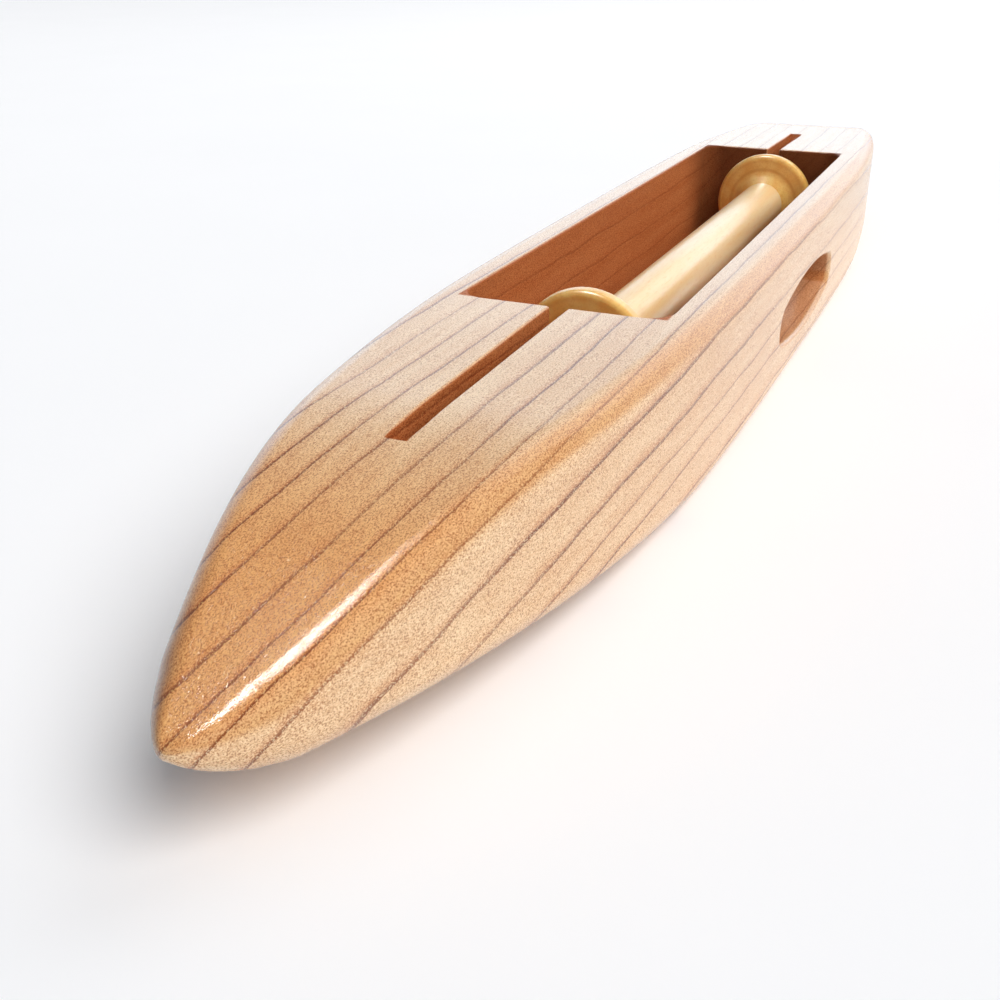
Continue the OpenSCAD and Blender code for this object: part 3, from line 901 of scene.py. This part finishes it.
def wood_turned(name, light, mid, dark, seed, rough0=0.34, ring_at=None):
    """Turned wood: grain runs along the axis, fine tool marks run round it."""
    k = Nodes(name)
    off = k.vec(seed * 3.1, seed * 5.7, seed * 2.3)
    add = k.t.nodes.new("ShaderNodeVectorMath")
    k.link(k.p, add.inputs[0])
    k.link(off, add.inputs[1])
    p = add.outputs[0]
    band = k.noise(k.scaled(0.03, 0.5, 0.5, p), 1.0, 3.0, 0.6)
    fine = k.noise(k.scaled(0.5, 4.0, 4.0, p), 1.0, 3.0, 0.65)
    fleck = k.noise(k.scaled(2.0, 6.0, 6.0, p), 1.0, 2.0, 0.7)
    r = k.math("SQRT", k.math("ADD", k.math("MULTIPLY", k.y, k.y), k.math("MULTIPLY", k.z, k.z)))
    marks = k.noise(k.vec(k.math("MULTIPLY", k.x, 3.2), k.math("MULTIPLY", r, 3.2), 0.0), 1.0, 2.0, 0.6)
    c = k.mix(k.remap(band, 0.32, 0.68), light, mid)
    c = k.mix(k.math("MULTIPLY", k.remap(fine, 0.48, 0.72), 0.35), c, dark)
    c = k.mix(k.math("MULTIPLY", k.remap(fleck, 0.55, 0.75), 0.22), c, dark)
    c = k.mix(k.math("MULTIPLY", k.remap(marks, 0.55, 0.75), 0.12), c, dark)
    if ring_at:
        for r0, wdt, s in ring_at:
            g = k.math("MULTIPLY", k.remap(r, r0 - wdt, r0), k.remap(r, r0, r0 + wdt, 1.0, 0.0))
            c = k.mix(k.math("MULTIPLY", g, s), c, dark)
    rough = k.math("ADD", k.mad(fine, 0.12, rough0 - 0.06), k.mad(marks, 0.08, -0.04))
    h = k.math("ADD", k.math("MULTIPLY", fine, 0.6), k.math("MULTIPLY", marks, 0.8))
    k.set(Base_Color=c, Roughness=rough, IOR=1.5, Normal=k.bump(h, 0.3, 0.00006))
    k.bsdf.inputs["Coat Weight"].default_value = 0.35
    k.bsdf.inputs["Coat Roughness"].default_value = 0.2
    k.bsdf.inputs["Subsurface Weight"].default_value = 0.3
    k.bsdf.inputs["Subsurface Radius"].default_value = (1.0, 0.7, 0.4)
    k.bsdf.inputs["Subsurface Scale"].default_value = 0.003
    return k.m


def steel(name, tint, rough0):
    k = Nodes(name)
    draw = k.noise(k.scaled(0.25, 6.0, 6.0), 1.0, 3.0, 0.6)
    spots = k.noise(k.scaled(0.6, 0.9, 0.9), 1.0, 3.0, 0.6)
    c = k.mix(k.remap(spots, 0.35, 0.7), srgb(*tint), srgb(*[q * 0.86 for q in tint]))
    c = k.mix(k.math("MULTIPLY", k.remap(draw, 0.5, 0.75), 0.25), c, srgb(120, 118, 114))
    rough = k.math("ADD", k.mad(draw, 0.12, rough0 - 0.06), k.mad(spots, 0.10, -0.05))
    k.set(Base_Color=c, Roughness=rough, Metallic=1.0, Normal=k.bump(draw, 0.25, 0.00003))
    return k.m


def end_grain():
    k = Nodes("plug_end_grain")
    dx, dz = k.math("SUBTRACT", k.x, HINGE_X), k.math("SUBTRACT", k.z, AXIS_Z)
    # the object's origin is the world's, so the plug's middle is taken away first
    arcs = k.math("SQRT", k.math("ADD", k.math("POWER", k.math("ADD", dx, 6.0), 2.0), k.math("POWER", k.math("ADD", dz, 4.0), 2.0)))
    wob = k.noise(k.scaled(0.8, 0.8, 0.8), 1.0, 2.0, 0.5)
    ringv = k.math("FRACT", k.math("MULTIPLY", k.math("ADD", arcs, wob), 1.5))
    spots = k.noise(k.scaled(8, 8, 8), 1.0, 2.0, 0.6)
    c = k.mix(k.remap(ringv, 0.55, 1.0), srgb(198, 142, 98), srgb(150, 92, 56))
    c = k.mix(k.math("MULTIPLY", k.remap(spots, 0.5, 0.7), 0.4), c, srgb(120, 72, 44))
    k.set(Base_Color=c, Roughness=k.mad(spots, 0.2, 0.34), IOR=1.5, Normal=k.bump(spots, 0.3, 0.00005))
    k.bsdf.inputs["Coat Weight"].default_value = 0.4
    k.bsdf.inputs["Coat Roughness"].default_value = 0.18
    return k.m


def give(o, m):
    o.data.materials.clear()
    o.data.materials.append(m)


give(body, wood_body())
give(plug, end_grain())
flange_m = wood_turned("flange_wood_grain", srgb(252, 204, 118), srgb(244, 185, 96), srgb(214, 142, 62), 1.0,
                       ring_at=((6.3, 0.5, 0.5), (7.9, 0.35, 0.25)))
barrel_m = wood_turned("barrel_wood_grain", srgb(255, 222, 176), srgb(253, 210, 152), srgb(238, 174, 104), 4.0)
give(fl_a, flange_m)
give(fl_b, flange_m)
give(barrel, barrel_m)
give(rod, steel("spindle_steel_drawn", (196, 197, 200), 0.26))
pin_m = steel("pin_steel_drawn", (176, 176, 178), 0.34)
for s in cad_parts["pivot_pin"].material_slots:
    s.material = pin_m

# ---------------------------------------------------------------- floor, light, camera
fm = Nodes("floor_paper")
fn = fm.noise(fm.scaled(0.02, 0.02, 0.02), 1.0, 3.0, 0.5)
fm.set(Base_Color=fm.mix(fn, srgb(249, 248, 249), srgb(252, 251, 252)), Roughness=0.9)
fm.bsdf.inputs["Specular IOR Level"].default_value = 0.0
me = bpy.data.meshes.new("floor")
S4 = 6.0
me.from_pydata([(-S4, -S4, 0), (S4, -S4, 0), (S4, S4, 0), (-S4, S4, 0)], [], [(0, 1, 2, 3)])
floor = bpy.data.objects.new("floor", me)
scene.collection.objects.link(floor)
me.materials.append(fm.m)

world = bpy.data.worlds.new("studio")
scene.world = world
world.use_nodes = True
wt = world.node_tree
bg = wt.nodes["Background"]


def world_math(op, a, b=0.0):
    n = wt.nodes.new("ShaderNodeMath")
    n.operation = op
    for i, q in enumerate((a, b)):
        if isinstance(q, (int, float)):
            n.inputs[i].default_value = q
        else:
            wt.links.new(q, n.inputs[i])
    return n.outputs[0]


def world_range(v, a, b, c, d):
    n = wt.nodes.new("ShaderNodeMapRange")
    n.interpolation_type, n.clamp = "SMOOTHSTEP", True
    wt.links.new(v, n.inputs["Value"])
    for key, q in (("From Min", a), ("From Max", b), ("To Min", c), ("To Max", d)):
        n.inputs[key].default_value = q
    return n.outputs["Result"]


# a dim room with a broad bright card low down behind the far end; the camera itself sees plain pale paper
tc = wt.nodes.new("ShaderNodeTexCoord")
sp = wt.nodes.new("ShaderNodeSeparateXYZ")
wt.links.new(tc.outputs["Generated"], sp.inputs[0])
toward = world_math("ADD", world_math("MULTIPLY", sp.outputs[0], 0.96), world_math("MULTIPLY", sp.outputs[1], 0.28))
card = world_math("MULTIPLY", world_range(toward, 0.45, 0.85, 0.0, 1.0), world_range(sp.outputs[2], 0.60, 0.30, 0.0, 1.0))
lp = wt.nodes.new("ShaderNodeLightPath")
glow = world_math("ADD", world_math("MULTIPLY", lp.outputs["Is Glossy Ray"], SHINE - CARD), CARD)
level = world_math("ADD", world_math("MULTIPLY", card, glow), AMBIENT)
seen = world_math("MAXIMUM", level, world_math("MULTIPLY", lp.outputs["Is Camera Ray"], 0.93))
wt.links.new(seen, bg.inputs["Strength"])
tint = wt.nodes.new("ShaderNodeMix")
tint.data_type = "RGBA"
wt.links.new(lp.outputs["Is Camera Ray"], tint.inputs["Factor"])
tint.inputs[6].default_value = (0.83, 0.97, 1.10, 1.0)
tint.inputs[7].default_value = (1.0, 1.0, 1.0, 1.0)
wt.links.new(tint.outputs[2], bg.inputs["Color"])


def area(name, loc, aim, size, power, color=(1, 1, 1), size_y=None, roll=0.0):
    d = bpy.data.lights.new(name, "AREA")
    d.energy, d.color = power, color
    d.shape = "RECTANGLE"
    d.size, d.size_y = size, size_y or size
    o = bpy.data.objects.new(name, d)
    scene.collection.objects.link(o)
    o.location = loc
    o.rotation_mode = "QUATERNION"
    o.rotation_quaternion = (Vector(aim) - Vector(loc)).to_track_quat("-Z", "Y") @ Quaternion((0, 0, 1), math.radians(roll))
    o.visible_camera = False
    return o


def sun(name, direction, angle, strength, color=(1, 1, 1)):
    d = bpy.data.lights.new(name, "SUN")
    d.energy, d.color, d.angle = strength, color, math.radians(angle)
    o = bpy.data.objects.new(name, d)
    scene.collection.objects.link(o)
    o.rotation_mode = "QUATERNION"
    o.rotation_quaternion = Vector(direction).to_track_quat("Z", "Y")
    o.visible_camera = False
    return o


# a wide window on the front side lights that side and throws the shadow behind
win = sun("window", (-0.16, -0.60, 0.78), 48, KEY, (1.02, 0.988, 0.955))
win.visible_glossy = False
# boxes overhead, seen only in the finish, give the line of light along the nose's edge
aim = Vector((-0.115, -0.005, 0.015))
for nm, dr, sx, sy, pw in (("box_wide", (0.01, 0.22, 0.975), 0.15, 0.21, 7.6), ("box_narrow", (0.20, 0.24, 0.95), 0.24, 0.08, 1.9)):
    b = area(nm, aim + Vector(dr).normalized() * 0.9, aim, sx, pw, (1.0, 0.99, 0.97), sy)
    b.visible_diffuse = False
# a soft lamp beyond the far end brightens that end a little
area("far_lamp", (0.75, -0.25, 0.75), (0.12, 0, 0.01), 0.7, 2.4, (1.0, 1.0, 1.0))

cam_d = bpy.data.cameras.new("camera")
cam = bpy.data.objects.new("camera", cam_d)
scene.collection.objects.link(cam)
cam_d.sensor_fit, cam_d.sensor_width, cam_d.lens = "HORIZONTAL", 36.0, 36.0 * 1.1638
cam_d.clip_start, cam_d.clip_end = 0.004, 60.0
right = Vector((0.41232, -0.91101, -0.00680))
up = -Vector((-0.40807, -0.17800, -0.89543))
back_v = -Vector((0.81454, 0.37198, -0.44515))
m = Matrix((right, up, back_v)).transposed().to_4x4()
m.translation = Vector((-179.04, -48.18, 62.24)) * MM
cam.matrix_world = m
scene.camera = cam
scene.view_settings.view_transform = "Standard"
scene.view_settings.look = "None"
